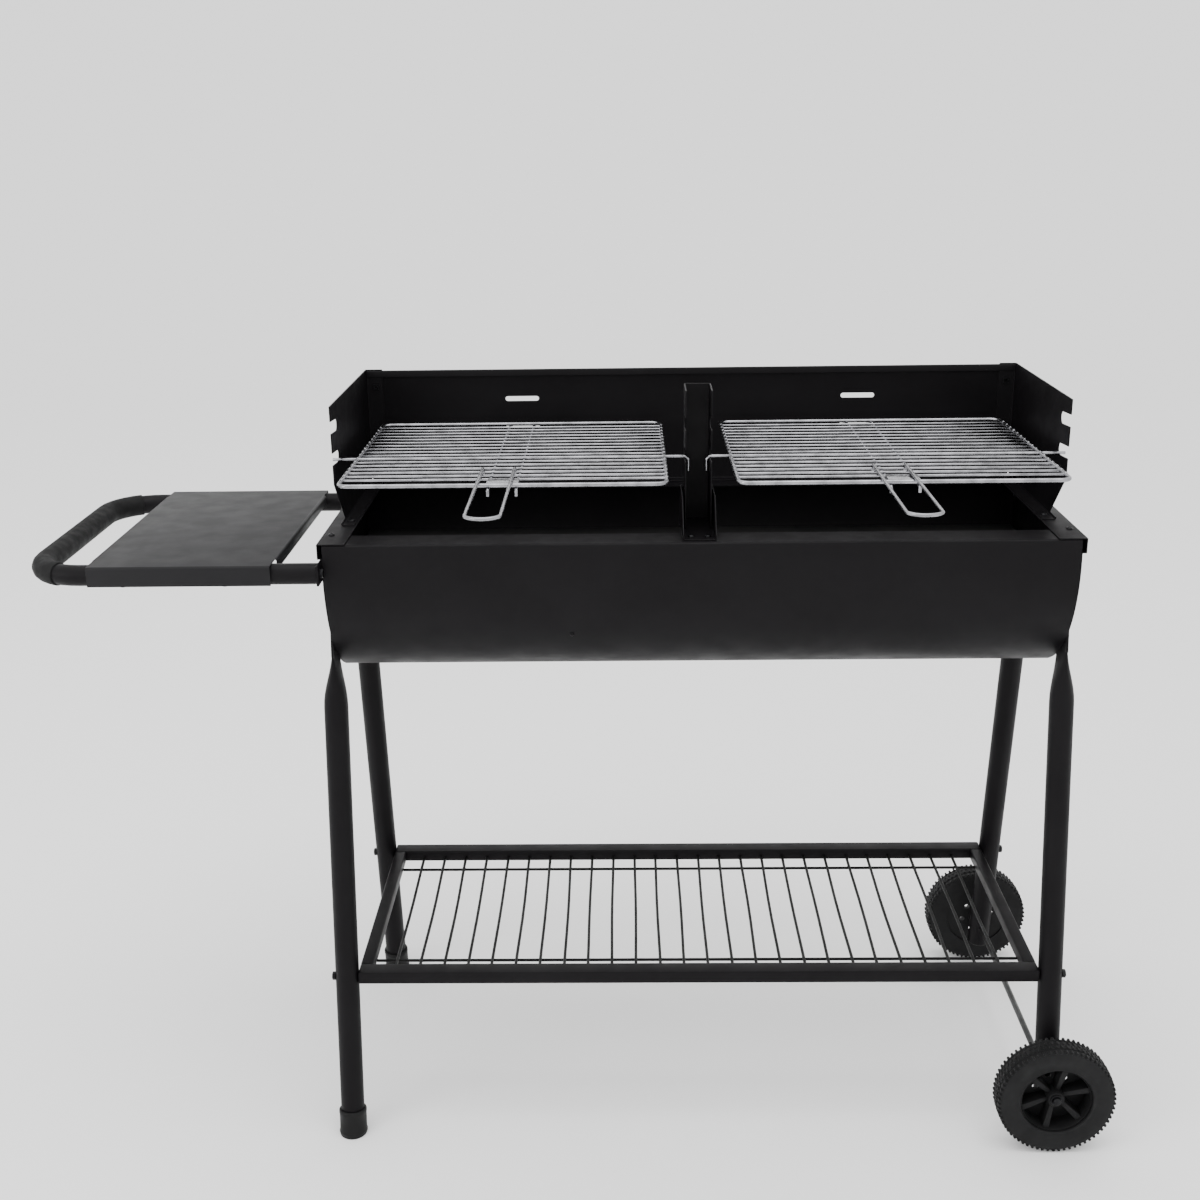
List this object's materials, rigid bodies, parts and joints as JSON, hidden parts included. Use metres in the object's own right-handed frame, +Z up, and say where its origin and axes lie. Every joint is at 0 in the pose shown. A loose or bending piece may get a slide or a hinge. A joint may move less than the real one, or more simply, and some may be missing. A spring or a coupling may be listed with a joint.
{
  "type": "half barrel charcoal barbecue trolley",
  "caption": "Half-barrel charcoal barbecue on splayed tube legs with windshield, wire grids on height notches, side table with push handle, wire shelf and end wheels.",
  "frame": {"origin": "on the ground, under the middle of the whole object's box", "axes": "+X along the trough towards the wheels, +Y towards the windshield, +Z up"},
  "size_m": [1.3294, 0.6234, 0.955],
  "materials": {
    "black_paint": "satin black paint",
    "tray_paint": "satin black paint",
    "shelf_wire_paint": "satin black paint on wire",
    "grate_steel": "heat-resistant matt black",
    "chrome_wire": "bright plated wire",
    "wheel_plastic": "moulded, dull",
    "black_plastic": "moulded, fine grain",
    "grip_foam": "matt sleeve",
    "axle_steel": "blackened rod",
    "zinc_steel": "zinc plated",
    "black_fasteners": "black zinc"
  },
  "bodies": {
    "trolley": {"bowl_shell": "black_paint", "bowl_end_left": "black_paint", "bowl_end_right": "black_paint", "windshield_back": "black_paint", "windshield_side_left": "black_paint", "windshield_side_right": "black_paint", "centre_post": "black_paint", "grate_ledge_left": "grate_steel", "grate_ledge_right": "grate_steel", "grate_crossbar": "grate_steel", "leg_front_left": "black_paint", "leg_back_left": "black_paint", "leg_front_right": "black_paint", "leg_back_right": "black_paint", "foot_cap_front": "black_plastic", "foot_cap_back": "black_plastic", "leg_plugs": "black_plastic", "shelf_rail_front": "black_paint", "shelf_rail_back": "black_paint", "shelf_rail_left": "black_paint", "shelf_rail_right": "black_paint", "shelf_mesh": "shelf_wire_paint", "axle": "axle_steel", "axle_washers": "zinc_steel", "axle_nuts": "zinc_steel", "table_tray": "tray_paint", "table_tube": "black_paint", "table_bracket": "black_paint", "table_plugs": "black_plastic", "handle_grip": "grip_foam", "leg_bolts": "black_fasteners", "leg_nuts": "black_fasteners", "shelf_bolts": "black_fasteners", "shelf_nuts": "black_fasteners", "windshield_screws": "black_fasteners", "windshield_nuts": "black_fasteners", "rim_screws": "black_fasteners", "table_bolts": "black_fasteners", "table_nuts": "black_fasteners", "tray_screws": "black_fasteners"},
    "charcoal_grate_left": {"charcoal_grate_left": "grate_steel"},
    "charcoal_grate_right": {"charcoal_grate_right": "grate_steel"},
    "grid_left": {"grid_left": "chrome_wire", "grid_spines_left": "chrome_wire", "grid_arms_left": "chrome_wire"},
    "grid_right": {"grid_right": "chrome_wire", "grid_spines_right": "chrome_wire", "grid_arms_right": "chrome_wire"},
    "grid_handle_left": {"grid_handle_left": "chrome_wire"},
    "grid_handle_right": {"grid_handle_right": "chrome_wire"},
    "wheel_front": {"wheel_front": "wheel_plastic"},
    "wheel_back": {"wheel_back": "wheel_plastic"}
  },
  "joints": [
    {"name": "wheel_front_spin", "type": "hinge", "parent": "trolley", "child": "wheel_front", "pos_m": [0.58975, -0.16331, 0.075], "axis": [0, 1, 0], "continuous": true},
    {"name": "wheel_back_spin", "type": "hinge", "parent": "trolley", "child": "wheel_back", "pos_m": [0.58975, 0.29469, 0.075], "axis": [0, 1, 0], "continuous": true},
    {"name": "grid_left_pull", "type": "slide", "parent": "trolley", "child": "grid_left", "axis": [0, -0.9972, 0.075], "range_m": [0, 0.4]},
    {"name": "grid_right_pull", "type": "slide", "parent": "trolley", "child": "grid_right", "axis": [0, -0.9972, 0.075], "range_m": [0, 0.4]},
    {"name": "grid_handle_left_fold", "type": "hinge", "parent": "grid_left", "child": "grid_handle_left", "pos_m": [-0.09375, -0.08269, 0.8697], "axis": [-1, 0, 0], "range_deg": [0, 155]},
    {"name": "grid_handle_right_fold", "type": "hinge", "parent": "grid_right", "child": "grid_handle_right", "pos_m": [0.35865, -0.08269, 0.8697], "axis": [-1, 0, 0], "range_deg": [0, 155]},
    {"name": "charcoal_grate_left_lift", "type": "slide", "parent": "trolley", "child": "charcoal_grate_left", "axis": [0, 0, 1], "range_m": [0, 0.055]},
    {"name": "charcoal_grate_right_lift", "type": "slide", "parent": "trolley", "child": "charcoal_grate_right", "axis": [0, 0, 1], "range_m": [0, 0.055]}
  ]
}
